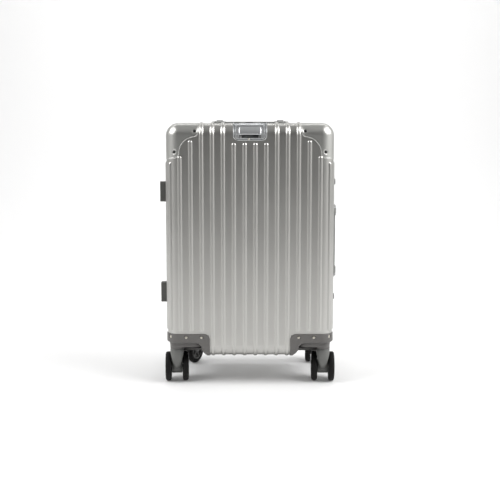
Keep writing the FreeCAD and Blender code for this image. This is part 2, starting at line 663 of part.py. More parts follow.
def side_feet(side):
    """Two feet that the case rests on when it lies on its hinge side."""
    feet = []
    for up in (-1, 1):
        box = block(("-half_width - foot_proud", "-half_width"),
                    (f"{side} * foot_y - foot_width / 2", f"{side} * foot_y + foot_width / 2"),
                    (f"handle_z + {up} * foot_spread - foot_half",
                     f"handle_z + {up} * foot_spread + foot_half"))
        doc.recompute()
        tip = box.Shape.BoundBox.XMin
        rim = [(number, size("foot_round"), size("foot_round"))
               for number, edge in enumerate(box.Shape.Edges, start=1)
               if edge.BoundBox.XLength > 1 or edge.BoundBox.XMax < tip + 0.01]
        fillet = doc.addObject("Part::Fillet", "foot")
        fillet.Base = box
        fillet.Edges = [edge for edge in rim if box.Shape.Edges[edge[0] - 1].BoundBox.XLength > 1]
        feet.append(fillet)
    keep(f"{back_or_lid(side)}_side_feet", group(*feet))


# ---- rivets

def rivet(base, direction):
    cone = doc.addObject("Part::Cone", "rivet")
    for value, expression in (("Radius1", "rivet_radius"), ("Radius2", "rivet_tip"),
                              ("Height", "rivet_height")):
        cone.setExpression(value, bound(expression))
    return place(cone, base, Rotation(Vector(0, 0, 1), direction))


def rivets(side):
    """The heads on the caps and housings of one half, and on the trolley cup."""
    out = Vector(0, side, 0)
    cap_face, housing_face = f"{side} * (face + cap_thickness)", f"{side} * (face + housing_proud)"
    angle = math.radians(size("rounding_angle"))
    round_radius = "(edge_radius + housing_proud)"
    heads = [
        rivet(("cap_edge + 8", cap_face, "shell_top - 17.5"), out),
        rivet(("half_width - 18", cap_face, "cap_bottom + 14"), out),
        rivet(("cap_edge + 7", f"{side} * foot_y", "shell_top + cap_thickness"), Vector(0, 0, 1)),
        rivet(("half_width + cap_thickness", f"{side} * foot_y", "cap_bottom + 12"), Vector(1, 0, 0)),
        rivet(("half_width - 70.5", housing_face, "housing_rivet_z"), out),
        rivet(("half_width - 39.5", housing_face, "housing_rivet_z"), out),
        rivet((f"half_width - edge_radius + {round_radius} * {math.sin(angle)}",
               f"{side} * (face - edge_radius + {round_radius} * {math.cos(angle)})",
               "housing_rivet_z"), Vector(math.sin(angle), side * math.cos(angle), 0)),
        rivet(("half_width + housing_proud", f"{side} * foot_y", "housing_rivet_z"), Vector(1, 0, 0)),
        rivet(("half_width + housing_proud", f"{side} * (foot_y - 22)", "housing_rivet_z"),
              Vector(1, 0, 0))]
    pieces = heads + [mirrored(head) for head in heads]
    if side < 0:
        lip = "(cup_bottom + slot_low) / 2"
        small = rivet(("0", "-face - cup_proud", lip), out)
        small.setExpression("Radius1", bound("rivet_radius / 2"))
        small.setExpression("Radius2", bound("rivet_tip / 2"))
        small.setExpression("Height", bound("rivet_height / 2"))
        pieces.append(small)
    keep(f"{back_or_lid(side)}_rivets", group(*pieces))


# ---- lining

def lining(side):
    """A thin tray that covers the tubes and steps over the caster housings."""
    open_end = f"parting + {side} * lining_edge"

    def tray(inset, beyond):
        end = f"{open_end} - {side} * {beyond}"
        if side > 0:
            return half_case(side, f"-lining_gap - {inset}", end, name="lining_tray")
        return prism(f"-lining_back + {inset}", end, case_outline(f"-lining_gap - {inset}"),
                     name="lining_tray")

    def step(extra):
        y_span = sorted((f"{side} * (face + 5)", f"{side} * (face - housing_depth - 3.5 - {extra})"),
                        key=size)
        return block((f"lining_notch - {extra}", "half_width"), y_span,
                     ("shell_bottom", f"lining_step + {extra}"))

    outside, inside = step("0"), step("lining_wall")
    outer = cut(tray("0", "0"), outside, mirrored(outside))
    inner = cut(tray("lining_wall", "5"), inside, mirrored(inside))
    keep(f"{back_or_lid(side)}_lining", cut(outer, inner))


def build():
    for side in (-1, 1):
        shell(side)
        frame(side)
        corner_caps(side)
        caster_housings(side)
        kingpins(side)
        rivets(side)
        side_feet(side)
        lining(side)
    frame_seal()
    for name, across, side, swivel in (("back_left_caster", -1, -1, 5), ("back_right_caster", 1, -1, -4),
                                       ("front_left_caster", -1, 1, -26),
                                       ("front_right_caster", 1, 1, -4)):
        caster(name, across, side, swivel)
    pins = carry_handles() + latches() + hinges()
    keep("pivot_pins", group(*pins))
    trolley_bezel()
    trolley_tubes()
    trolley_grip()
    trolley_button()


def check():
    """Stop if any object failed or any sub-part's shape can't be used."""
    for item in doc.Objects:
        if "Invalid" in item.State or "Error" in item.State:
            raise RuntimeError(f"{item.Label} is {item.State}")
    for sub_part in SUB_PARTS:
        if sub_part.Shape.isNull() or not sub_part.Shape.isValid() or not sub_part.Shape.Solids:
            raise RuntimeError(f"{sub_part.Label} has no valid shape")


def export():
    os.makedirs("parts", exist_ok=True)
    for sub_part in SUB_PARTS:
        sub_part.Shape.exportStep(f"parts/{sub_part.Label}.step")


build()
doc.recompute()
check()
export()
for sub_part in SUB_PARTS:
    box = sub_part.Shape.BoundBox
    print(f"{sub_part.Label}: {len(sub_part.Shape.Solids)} solids, {sub_part.Shape.Volume / 1000:.2f} cm3, "
          f"x {box.XMin:.1f} {box.XMax:.1f}, y {box.YMin:.1f} {box.YMax:.1f}, z {box.ZMin:.1f} {box.ZMax:.1f}")
print(len(SUB_PARTS), "sub-parts")
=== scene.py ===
"""Looks of the ribbed aluminium suitcase: formed sheets, mouldings, casters, materials, light, camera.

Lengths are in millimetres until a mesh is made. X runs across the case, Z is up and -Y is the
back with the trolley handle. "side" is -1 for the back half and 1 for the lid half, "across" is
-1 for the left and 1 for the right.
"""
import json
import math
import bpy
import numpy as np
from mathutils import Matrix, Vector


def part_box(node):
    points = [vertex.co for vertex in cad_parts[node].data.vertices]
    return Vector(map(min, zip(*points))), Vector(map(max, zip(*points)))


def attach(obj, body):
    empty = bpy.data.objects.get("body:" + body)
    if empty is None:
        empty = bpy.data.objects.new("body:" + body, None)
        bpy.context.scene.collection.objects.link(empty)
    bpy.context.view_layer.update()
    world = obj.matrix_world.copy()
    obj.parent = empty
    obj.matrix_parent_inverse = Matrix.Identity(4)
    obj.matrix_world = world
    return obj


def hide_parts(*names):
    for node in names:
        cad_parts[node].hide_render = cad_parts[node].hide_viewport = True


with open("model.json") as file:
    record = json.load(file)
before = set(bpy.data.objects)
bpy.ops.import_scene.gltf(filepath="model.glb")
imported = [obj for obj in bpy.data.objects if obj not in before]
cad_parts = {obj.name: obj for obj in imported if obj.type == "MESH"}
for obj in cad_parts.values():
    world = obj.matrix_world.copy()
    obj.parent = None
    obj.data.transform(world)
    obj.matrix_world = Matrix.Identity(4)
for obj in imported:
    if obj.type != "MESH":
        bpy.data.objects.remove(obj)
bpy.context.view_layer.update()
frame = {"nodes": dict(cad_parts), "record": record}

# ---- sizes of the case, without ribs
HALF_WIDTH, FACE, LOW, TOP, ROUND, WALL = 170.0, 108.0, 60.0, 536.0, 26.0, 1.2
FLAT_X, FLAT_Y, FLAT_LOW, FLAT_TOP = HALF_WIDTH - ROUND, FACE - ROUND, LOW + ROUND, TOP - ROUND
QUARTER = ROUND * math.pi / 2
SIDE_START = FLAT_X + QUARTER
TOP_START, LOW_START = FLAT_TOP + QUARTER, FLAT_LOW - QUARTER
RUN = {-1: 84.5, 1: 56.5}
PITCH, RIB_HEIGHT, RIB_BASE = 21.75, 2.2, 4.4
HANDLE_Z = 293.5
# where ribs stop: over the housings, at the corner caps by number from the middle, under the
# cup, before the side caps, and around the side handle's mounts and the side feet
RIB_LOW, RIB_TOPS, CUP_RIB_TOP, SIDE_RIB_TOP = 112.0, {5: 500.0, 6: 469.0, 7: 457.0}, 495.0, 460.0
HANDLE_BAND, MOUNT_GAP, FOOT_GAP, ENDLESS = 33.0, (37.0, 88.0), (81.0, 128.0), 900.0
# the cut-outs of the shells for the trolley cup, with its narrower foot, and for the housings
CUP_CUT_HALF, CUP_CUT_LOW, CUP_CUT_HIGH, CUP_FOOT_HALF, CUP_FOOT_TOP = 33.2, 499.6, 566.4, 26.0, 505.0
WHEEL_CUT_NEAR, WHEEL_CUT_FAR, WHEEL_CUT_LOW, WHEEL_CUT_HIGH = 84.0, 233.0, -4.0, 105.0


def box_mm(node):
    low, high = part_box(node)
    return np.array(low) * 1000, np.array(high) * 1000


# ---- mesh helpers

class Build:
    """Vertices and faces gathered from several parts of one piece."""

    def __init__(self):
        self.verts, self.faces, self.count = [], [], 0

    def add(self, verts, faces, turn=None, move=(0, 0, 0)):
        verts = np.asarray(verts, float)
        if turn is not None:
            verts = verts @ np.asarray(turn, float).T
        self.verts.append(verts + np.asarray(move, float))
        self.faces += [[index + self.count for index in face] for face in faces]
        self.count += len(verts)
        return self

    def piece(self, name, slot, body, nodes=(), sharp=40.0, bevel=0.0):
        mesh = bpy.data.meshes.new(name)
        mesh.from_pydata((np.concatenate(self.verts) * 0.001).tolist(), [], self.faces)
        mesh.validate()
        mesh.shade_smooth()
        mesh.set_sharp_from_angle(angle=math.radians(sharp))
        mesh.materials.append(MATERIALS[slot])
        thing = bpy.data.objects.new(name, mesh)
        bpy.context.scene.collection.objects.link(thing)
        if bevel:
            soften(thing, bevel)
        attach(thing, body)
        if nodes:
            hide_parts(*nodes)
        return thing


def soften(thing, width):
    bevel = thing.modifiers.new("soft_edges", "BEVEL")
    bevel.width = width * 0.001
    bevel.segments = 2
    bevel.limit_method = "ANGLE"
    bevel.angle_limit = math.radians(35)
    bevel.harden_normals = False


def turned(direction):
    """The rotation that takes +Z to a direction."""
    return np.array(Vector((0, 0, 1)).rotation_difference(Vector(direction)).to_matrix())


def lathe(profile, segments=48):
    """A closed or open profile of (radius, height) turned round Z."""
    verts, faces, count = [], [], len(profile)
    for step in range(segments):
        angle = 2 * math.pi * step / segments
        verts += [(radius * math.cos(angle), radius * math.sin(angle), height)
                  for radius, height in profile]
    for step in range(segments):
        here, after = step * count, (step + 1) % segments * count
        faces += [(here + k, after + k, after + k + 1, here + k + 1) for k in range(count - 1)]
    return verts, faces


def loft(rings, closed_ends=True):
    """Faces through rings of the same number of points."""
    count = len(rings[0])
    verts = [point for ring in rings for point in ring]
    faces = [(row * count + k, row * count + (k + 1) % count,
              (row + 1) * count + (k + 1) % count, (row + 1) * count + k)
             for row in range(len(rings) - 1) for k in range(count)]
    if closed_ends:
        last = (len(rings) - 1) * count
        faces += [tuple(reversed(range(count))), tuple(range(last, last + count))]
    return verts, faces


def rounded_ring(half_x, half_y, corner, steps=6):
    """A rounded rectangle in the XY plane, anticlockwise."""
    points = []
    for quarter, (sx, sy) in enumerate(((1, 1), (-1, 1), (-1, -1), (1, -1))):
        for step in range(steps + 1):
            angle = math.pi / 2 * (quarter + step / steps)
            points.append((sx * (half_x - corner) + corner * math.cos(angle),
                           sy * (half_y - corner) + corner * math.sin(angle)))
    return points


def slab(half_x, half_y, low, high, corner, edge=0.6):
    """A rounded plate with softened rims, along Z."""
    rings = []
    for inset, height in ((edge, low), (edge * 0.3, low + edge * 0.3), (0, low + edge),
                          (0, high - edge), (edge * 0.3, high - edge * 0.3), (edge, high)):
        ring = rounded_ring(half_x - inset, half_y - inset, max(corner - inset, 0.05))
        rings.append([(x, y, height) for x, y in ring])
    return loft(rings)


def dome(radius, height, base=0.0):
    """A rivet head."""
    shares = ((1, 0), (0.96, 0.35), (0.8, 0.72), (0.5, 0.94))
    profile = [(radius * out, base + height * up) for out, up in shares]
    return lathe(profile + [(0.01, base + height)], 24)


# ---- the unrolled wall: s runs across the face and back along the side, t up the face and over the top

def wall(s, t, lift, side):
    s, t = np.asarray(s, float), np.asarray(t, float)
    beyond_s = np.abs(s) - FLAT_X
    beyond_t = np.where(t > (LOW + TOP) / 2, t - FLAT_TOP, FLAT_LOW - t)
    a = np.clip(beyond_s / ROUND, 0, math.pi / 2)
    b = np.clip(beyond_t / ROUND, 0, math.pi / 2)
    run = np.maximum(beyond_s - QUARTER, 0) + np.maximum(beyond_t - QUARTER, 0)
    radius = ROUND + lift
    x = np.clip(s, -FLAT_X, FLAT_X) + radius * np.sin(a) * np.cos(b) * np.sign(s)
    y = -FLAT_Y + run - radius * np.cos(a) * np.cos(b)
    z = np.clip(t, FLAT_LOW, FLAT_TOP) + radius * np.sin(b) * np.where(t > (LOW + TOP) / 2, 1, -1)
    return np.stack([x, y * -side, z], axis=-1)


def lines(*spans):
    """Sorted grid lines from (low, high, step) spans, without near duplicates."""
    values = np.concatenate([np.linspace(low, high, max(2, int(round((high - low) / step)) + 1))
                             for low, high, step in spans])
    values = np.sort(values)
    return values[np.concatenate([[True], np.diff(values) > 0.05])]


def sheet(s_lines, t_lines, wanted, lift, thickness, side, loops=None):
    """A closed sheet on the wall.

    wanted and lift are functions of (s, t); with loops, the rim is moved onto the nearest loop and
    both functions get the distance inside the loops as a third value.
    """
    s, t = np.meshgrid(s_lines, t_lines, indexing="ij")
    middle_s, middle_t = (s[:-1, :-1] + s[1:, 1:]) / 2, (t[:-1, :-1] + t[1:, 1:]) / 2
    inside = ~((np.abs(middle_s) > FLAT_X) & ((middle_t > TOP_START) | (middle_t < LOW_START)))
    if loops is None:
        inside &= wanted(middle_s, middle_t)
    else:
        inside &= wanted(middle_s, middle_t, depth(middle_s, middle_t, loops)[0])
    base = wall(s, t, 0.0, side)
    keys = np.round(base * 50).astype(int)
    index_of, flat_s, flat_t = {}, [], []
    faces = []
    for i, j in np.argwhere(inside):
        face = []
        for di, dj in ((0, 0), (1, 0), (1, 1), (0, 1)):
            key = tuple(keys[i + di, j + dj])
            if key not in index_of:
                index_of[key] = len(index_of)
                flat_s.append(s[i + di, j + dj])
                flat_t.append(t[i + di, j + dj])
            number = index_of[key]
            if number not in face:
                face.append(number)
        if len(face) > 2:
            faces.append(face if side < 0 else face[::-1])
    flat_s, flat_t = np.array(flat_s), np.array(flat_t)
    edges = {}
    for face in faces:
        for first, second in zip(face, face[1:] + face[:1]):
            if (second, first) in edges:
                del edges[(second, first)]
            else:
                edges[(first, second)] = True
    if loops is None:
        height = lift(flat_s, flat_t)
    else:
        rim = np.array(sorted({number for edge in edges for number in edge}))
        near, point = depth(flat_s[rim], flat_t[rim], loops)
        close = np.abs(near) < 2.5
        flat_s[rim[close]], flat_t[rim[close]] = point[0][close], point[1][close]
        height = lift(flat_s, flat_t, depth(flat_s, flat_t, loops)[0])
    outer = wall(flat_s, flat_t, height, side)
    inner = wall(flat_s, flat_t, height - thickness, side)
    count = len(outer)
    faces += [[number + count for number in reversed(face)] for face in faces[:]]
    faces += [[second, first, first + count, second + count] for first, second in edges]
    return np.concatenate([outer, inner]), faces


def depth(s, t, loops):
    """Distance inside a set of closed loops (even-odd) and the nearest point on them."""
    s, t = np.asarray(s, float), np.asarray(t, float)
    best = np.full(s.shape, 1e9)
    near_s, near_t = s.copy(), t.copy()
    inside = np.zeros(s.shape, bool)
    for loop in loops:
        for (s0, t0), (s1, t1) in zip(loop, loop[1:] + loop[:1]):
            ds, dt = s1 - s0, t1 - t0
            part = np.clip(((s - s0) * ds + (t - t0) * dt) / max(ds * ds + dt * dt, 1e-9), 0, 1)
            ps, pt = s0 + part * ds, t0 + part * dt
            distance = np.hypot(s - ps, t - pt)
            closer = distance < best
            best = np.where(closer, distance, best)
            near_s, near_t = np.where(closer, ps, near_s), np.where(closer, pt, near_t)
            if abs(dt) > 1e-9:
                crosses = ((t0 > t) != (t1 > t)) & (s < s0 + (t - t0) * ds / dt)
                inside ^= crosses
    return np.where(inside, best, -best), (near_s, near_t)


def arc(centre, radius, start, end, steps=10):
    return [(centre[0] + radius * math.cos(math.radians(start + (end - start) * k / steps)),
             centre[1] + radius * math.sin(math.radians(start + (end - start) * k / steps)))
            for k in range(steps + 1)]


def flipped(loops):
    return [[(-s, t) for s, t in loop] for loop in loops]


def eased(values):
    values = np.clip(values, 0, 1)
    return values * values * (3 - 2 * values)


def rounded_rim(inside, radius):
    """How far a rim of this radius has dropped at a distance inside it."""
    gap = np.clip(radius - inside, 0, radius)
    return radius - np.sqrt(np.maximum(radius * radius - gap * gap, 0))


# ---- materials

def material(name, colour, metallic=0.0, roughness=0.5, grain=0.0, grain_size=900.0, stretch=(1, 1, 1),
             shade=0.0, specular=0.5):
    """A principled material with a fine bump grain and uneven shade and roughness."""
    made = bpy.data.materials.new(name)
    made.use_nodes = True
    nodes, links = made.node_tree.nodes, made.node_tree.links
    shader = nodes["Principled BSDF"]
    shader.inputs["Metallic"].default_value = metallic
    shader.inputs["Specular IOR Level"].default_value = specular
    place = nodes.new("ShaderNodeTexCoord")
    scale = nodes.new("ShaderNodeMapping")
    scale.inputs["Scale"].default_value = stretch
    links.new(place.outputs["Object"], scale.inputs["Vector"])
    large = nodes.new("ShaderNodeTexNoise")
    large.inputs["Scale"].default_value = 9.0
    large.inputs["Detail"].default_value = 5.0
    links.new(place.outputs["Object"], large.inputs["Vector"])
    fine = nodes.new("ShaderNodeTexNoise")
    fine.inputs["Scale"].default_value = grain_size
    fine.inputs["Detail"].default_value = 3.0
    links.new(scale.outputs["Vector"], fine.inputs["Vector"])
    tint = nodes.new("ShaderNodeMix")
    tint.data_type = "RGBA"
    tint.inputs["A"].default_value = (*[c * (1 - shade) for c in colour], 1)
    tint.inputs["B"].default_value = (*[min(1, c * (1 + shade)) for c in colour], 1)
    links.new(large.outputs["Fac"], tint.inputs["Factor"])
    links.new(tint.outputs["Result"], shader.inputs["Base Color"])
    rough = nodes.new("ShaderNodeMapRange")
    rough.inputs["To Min"].default_value = roughness - 0.04
    rough.inputs["To Max"].default_value = roughness + 0.04
    links.new(large.outputs["Fac"], rough.inputs["Value"])
    links.new(rough.outputs["Result"], shader.inputs["Roughness"])
    if grain:
        bump = nodes.new("ShaderNodeBump")
        bump.inputs["Strength"].default_value = grain
        bump.inputs["Distance"].default_value = 0.0002
        links.new(fine.outputs["Fac"], bump.inputs["Height"])
        links.new(bump.outputs["Normal"], shader.inputs["Normal"])
    return made


MATERIALS = {
    "shell_aluminium": material("shell_aluminium", (0.495, 0.49, 0.47), 1.0, 0.33, 0.04, 700, shade=0.02),
    "frame_aluminium": material("frame_aluminium", (0.62, 0.62, 0.60), 1.0, 0.30, 0.12, 400,
                                (0.05, 1, 1), 0.02),
    "cap_aluminium": material("cap_aluminium", (0.53, 0.53, 0.51), 1.0, 0.36, 0.05, 800, shade=0.02),
    "housing_plastic": material("housing_plastic", (0.115, 0.110, 0.105), 0.0, 0.42, 0.35, 1500, shade=0.06),
    "cup_plastic": material("cup_plastic", (0.56, 0.57, 0.575), 0.9, 0.36, 0.05, 1400, shade=0.03),
    "fork_plastic": material("fork_plastic", (0.135, 0.137, 0.130), 0.0, 0.40, 0.20, 1500, shade=0.05),
    "tyre": material("tyre", (0.0035, 0.0032, 0.003), 0.0, 0.62, 0.25, 900, shade=0.15, specular=0.22),
    "hub_plastic": material("hub_plastic", (0.12, 0.12, 0.118), 0.0, 0.40, 0.15, 1500, shade=0.06),
    "steel": material("steel", (0.55, 0.55, 0.54), 1.0, 0.28, 0.10, 500, (1, 1, 0.05), 0.03),
    "rivet_steel": material("rivet_steel", (0.62, 0.59, 0.52), 1.0, 0.30, 0.05, 900, shade=0.04),
    "handle_plastic": material("handle_plastic", (0.21, 0.213, 0.205), 0.0, 0.42, 0.25, 1300, shade=0.06),
    "foot_plastic": material("foot_plastic", (0.075, 0.075, 0.070), 0.0, 0.42, 0.25, 1300, shade=0.06),
    # rivet_dark is painted shade: its near-black stands in for the shaded hollow centres of the corner caps'
    # rivets
    "rivet_dark": material("rivet_dark", (0.006, 0.006, 0.006), 0.0, 0.35, 0.1, 900, shade=0.1),
    "latch_metal": material("latch_metal", (0.31, 0.31, 0.305), 1.0, 0.40, 0.08, 900, shade=0.03),
    "tube_aluminium": material("tube_aluminium", (0.60, 0.60, 0.60), 1.0, 0.25, 0.10, 500,
                               (1, 1, 0.05), 0.02),
    "grip_plastic": material("grip_plastic", (0.56, 0.57, 0.58), 0.9, 0.36, 0.05, 1400, shade=0.03),
    "seal_rubber": material("seal_rubber", (0.012, 0.012, 0.012), 0.0, 0.65, 0.3, 900, shade=0.1),
    "lining_fabric": material("lining_fabric", (0.045, 0.046, 0.052), 0.0, 0.85, 0.9, 1600, shade=0.12),
    "dark_plastic": material("dark_plastic", (0.02, 0.02, 0.02), 0.0, 0.5, 0.2, 1300, shade=0.06),
}


# ---- shells

def ribs(side):
    """(s, low t, high t) of every rib of one half."""
    found = []
    for across in (-1, 1):
        for number in range(8):
            s = across * (number + 0.5) * PITCH
            high = RIB_TOPS.get(number, ENDLESS)
            if side < 0 and number < 2:
                high = CUP_RIB_TOP
            if side < 0 and number in (2, 3):
                high = TOP_START + FLAT_Y - HANDLE_BAND
            found.append((s, -ENDLESS if number < 4 else RIB_LOW, high))
        for number in range(4 if side < 0 else 3):
            s = across * (SIDE_START + number * PITCH)
            stops = [RIB_LOW, SIDE_RIB_TOP]
            if side < 0 and number == 3 and across > 0:
                stops = broken(MOUNT_GAP)
            if number == 1 and across < 0:
                stops = broken(FOOT_GAP)
            found += [(s, low, high) for low, high in zip(stops[::2], stops[1::2])]
    return found


def broken(gap):
    """The ends of a side rib that leaves a gap above and below the handle's middle."""
    near, far = gap
    return [RIB_LOW, HANDLE_Z - far, HANDLE_Z - near, HANDLE_Z + near, HANDLE_Z + far, SIDE_RIB_TOP]


def shell(side):
    found = ribs(side)
    run = RUN[side]
    s_end, t_end, low_end = SIDE_START + run, TOP_START + run, LOW_START - run
    offsets = np.array([4.6, 4.4, 4.15, 3.8, 3.4, 2.9, 2.4, 1.8, 1.2, 0.6])
    spans = [(0, 0.01, 1), (FLAT_X, SIDE_START, 3.4), (SIDE_START, s_end, 21)]
    s_values = [value for low, high, step in spans for value in lines((low, high, step))]
    for s in sorted({abs(s) for s, _, _ in found}):
        s_values += list(s - offsets) + [s] + list(s + offsets)
    s_values = [value for value in s_values if value <= s_end + 1e-6]
    s_values += [CUP_CUT_HALF, CUP_FOOT_HALF, CUP_FOOT_HALF + 3, WHEEL_CUT_NEAR, WHEEL_CUT_FAR]
    s_lines = np.unique(np.round(np.concatenate([s_values, -np.array(s_values)]), 3))
    ends = sorted({end for _, low, high in found for end in (low, high) if abs(end) < ENDLESS})
    t_spans = [(low_end, LOW_START, 20), (LOW_START, FLAT_LOW, 3.4), (FLAT_LOW, FLAT_TOP, 26),
               (FLAT_TOP, TOP_START, 3.4), (TOP_START, t_end, 20), (CUP_CUT_LOW, 510, 2.0)]
    t_spans += [(end - 5, end + 5, 0.9) for end in ends if end - 5 > low_end and end + 5 < t_end]
    t_values = list(lines(*t_spans)) + [WHEEL_CUT_HIGH, WHEEL_CUT_LOW, CUP_CUT_HIGH, CUP_CUT_LOW]
    t_lines = np.unique(np.round(t_values, 3))

    def wanted(s, t):
        away = np.abs(s)
        wheel_cut = (away > WHEEL_CUT_NEAR) & (away < WHEEL_CUT_FAR)
        wheel_cut &= (t < WHEEL_CUT_HIGH) & (t > WHEEL_CUT_LOW)
        cup_cut = (away < CUP_CUT_HALF) & (t > CUP_CUT_LOW) & (t < CUP_CUT_HIGH)
        cup_cut &= ~((away > CUP_FOOT_HALF) & (t < CUP_FOOT_TOP))
        return ~(wheel_cut | cup_cut) if side < 0 else ~wheel_cut

    def lift(s, t):
        height = np.zeros(s.shape)
        for centre, low, high in found:
            along = np.maximum(np.maximum(low + RIB_BASE - t, t - (high - RIB_BASE)), 0)
            away = np.hypot(s - centre, along)
            away = np.minimum(away, RIB_BASE)
            # a gentle slope from the crest that steepens towards the foot
            bulge = RIB_HEIGHT - 0.24 * away - (RIB_HEIGHT - 0.24 * RIB_BASE) * (away / RIB_BASE) ** 3
            height = np.maximum(height, bulge)
        return height

    verts, faces = sheet(s_lines, t_lines, wanted, lift, WALL, side)
    name, body = ("back_shell", "case_back") if side < 0 else ("front_shell", "lid")
    Build().add(verts, faces).piece(name + "_formed", "shell_aluminium", body, [name], 50)


# ---- corner caps

CAP_EDGE, CAP_LOW = 103.0, 463.0
CAP_RIVETS = ((CAP_EDGE + 8, TOP - 17.5), (HALF_WIDTH - 18, CAP_LOW + 14))


def cap_loops(side):
    run = RUN[side] - 0.3
    edge = [(CAP_EDGE, TOP_START + run), (CAP_EDGE, 517.0)]
    edge += arc((114, 517.0), 11, 180, 270, 8)[1:]
    edge += arc((110, 474.15), 31.9, 81.7, 6.4, 10)
    edge += arc((154.5, 475.8), 12.8, 180, 270, 8)[1:]
    edge += [(SIDE_START + run, CAP_LOW), (SIDE_START + run, TOP_START), (FLAT_X, TOP_START + run)]
    return [edge]


def caps(side):
    build = Build()
    run = RUN[side] - 0.3
    s_lines = lines((100, FLAT_X, 1.0), (FLAT_X, SIDE_START, 1.2), (SIDE_START, SIDE_START + run, 1.6))
    t_lines = lines((460, FLAT_TOP, 1.0), (FLAT_TOP, TOP_START, 1.2), (TOP_START, TOP_START + run, 1.6))

    def lift(s, t, inside):
        bead = 0.45 * np.exp(-((inside - 1.3) / 0.8) ** 2)
        height = 0.55 - 0.4 * (1 - eased(inside / 0.7)) + bead * eased(inside / 0.7)
        for rivet_s, rivet_t in CAP_RIVETS:
            away = np.hypot(np.abs(s) - rivet_s, t - rivet_t)
            height = height - 0.9 * np.exp(-(away / 4.6) ** 4)
        return height

    for across in (1, -1):
        loops = cap_loops(side) if across > 0 else flipped(cap_loops(side))
        columns = s_lines if across > 0 else np.sort(-s_lines)
        build.add(*sheet(columns, t_lines, lambda s, t, inside: inside > 0, lift, WALL, side, loops))
    name, body = ("back_corner_caps", "case_back") if side < 0 else ("front_corner_caps", "lid")
    build.piece(name + "_pressed", "cap_aluminium", body, [name], 50)


# ---- caster housings

HOUSING_EDGE, HOUSING_TOP, HOUSING_CORNER, HOUSING_BACK = 82.0, 108.0, 12.0, 52.0
HOUSING_RIVETS = ((HALF_WIDTH - 70.5, 100.5), (HALF_WIDTH - 39.5, 100.5),
                  (FLAT_X + ROUND * math.radians(46), 101), (SIDE_START + 22, 101),
                  (SIDE_START + 44, 101))


def housing_loops():
    """The outer loop of the moulding and the loop of its wheel arch, on the unrolled wall."""
    s_end, low_end = SIDE_START + HOUSING_BACK, LOW_START - HOUSING_BACK
    outer = [(HOUSING_EDGE, low_end), (HOUSING_EDGE, HOUSING_TOP - HOUSING_CORNER)]
    corner = (HOUSING_EDGE + HOUSING_CORNER, HOUSING_TOP - HOUSING_CORNER)
    outer += arc(corner, HOUSING_CORNER, 180, 90, 8)[1:]
    outer += [(s_end, HOUSING_TOP), (s_end, LOW_START), (FLAT_X, low_end)]
    hole = [(92, low_end + 22), (91.5, 57), (95, 64), (99.5, 73)]
    hole += arc((113, 74.5), 14, 165, 90, 8)
    hole += arc((SIDE_START + 22, 76.5), 12, 90, 15, 8)
    hole += [(SIDE_START + 36.5, 68), (SIDE_START + 40, 58), (SIDE_START + 41, LOW_START),
             (FLAT_X, low_end + 11), (102, low_end + 11)]
    return [outer, hole]


def housing(across, side, name):
    king = king_pin(name)
    build = Build()
    s_end, low_end = SIDE_START + HOUSING_BACK, LOW_START - HOUSING_BACK
    s_lines = lines((HOUSING_EDGE - 2, FLAT_X, 1.1), (FLAT_X, SIDE_START, 1.2),
                    (SIDE_START, s_end, 1.4))
    t_lines = lines((low_end, LOW_START, 2.2), (LOW_START, FLAT_LOW, 1.1),
                    (FLAT_LOW, HOUSING_TOP + 2, 1.0))
    loops = housing_loops()
    outer_loop, hole_loop = ([loop] for loop in (loops if across > 0 else flipped(loops)))

    def lift(s, t, inside):
        rim = np.abs(depth(s, t, hole_loop)[0])
        edge = np.abs(depth(s, t, outer_loop)[0])
        height = 2.0 - 0.9 * (1 - eased(edge / 1.2)) - rounded_rim(rim, 3.7)
        for spot_s, spot_t in HOUSING_RIVETS:
            away = np.hypot(np.abs(s) - spot_s, t - spot_t)
            height = height - 2.2 * (1 - eased((away - 3.3) / 1.1))
        return height

    columns = s_lines if across > 0 else np.sort(-s_lines)
    build.add(*sheet(columns, t_lines, lambda s, t, inside: inside > 0, lift, 2.6, side,
                     outer_loop + hole_loop))
    # the recessed wall inside the arch, open below for the wheels
    front, flank, near, far = -97.0, HALF_WIDTH - 6.0, 100.5, -42.0
    plan = [(near, far)] + [(near, front + 16)]
    plan += arc((near + 16, front + 16), 16, 180, 270, 8)[1:]
    plan += [(flank - 10, front)] + arc((flank - 10, front + 10), 10, 270, 360, 8)[1:] + [(flank, far)]
    rings = []
    for inset, height in ((0, 96), (0, 82), (0.5, 78.6), (1.4, 77.6), (2.6, 78.2), (2.8, 88),
                          (2.8, 95)):
        centre = ((near + flank) / 2, (front + far) / 2)
        scale_x = 1 - inset / ((flank - near) / 2)
        scale_y = 1 - inset / ((far - front) / 2)
        rings.append([(across * (centre[0] + (x - centre[0]) * scale_x),
                       -side * (centre[1] + (y - centre[1]) * scale_y), height) for x, y in plan])
    build.add(*loft(rings, False))
    roof = slab((flank - near) / 2 - 1, (far - front) / 2 - 1, 88, 92, 12, 0.3)
    build.add(*roof, move=(across * (near + flank) / 2, -side * (front + far) / 2, 0))
    # the neck over the swivel
    neck = [(5.3, 73.1), (13.2, 73.1), (13.8, 73.7), (13.9, 80), (14.6, 85), (16.8, 89), (20, 91.5),
            (20, 95)]
    build.add(*lathe(neck, 48), move=(king[0], king[1], 0))
    node = f"{name}_caster_housing"
    build.piece(node + "_moulded", "housing_plastic", "case_back" if side < 0 else "lid", [node], 42)


CASTER_TRAIL = 20.0


def king_pin(name):
    """The swivel axis of a caster, ahead of its axle by the trail."""
    left, right = wheel_centres(name)
    axis = right - left
    axis /= np.linalg.norm(axis)
    forward = np.array([-axis[1], axis[0], 0])
    centre = (left + right) / 2
    return centre - forward * CASTER_TRAIL


def wheel_centres(name):
    return [sum(box_mm(f"{name}_caster_{hand}_tyre")) / 2 for hand in ("left", "right")]


# ---- casters

SPOKES, SPOKE_MIDDLE = 5, 12.8


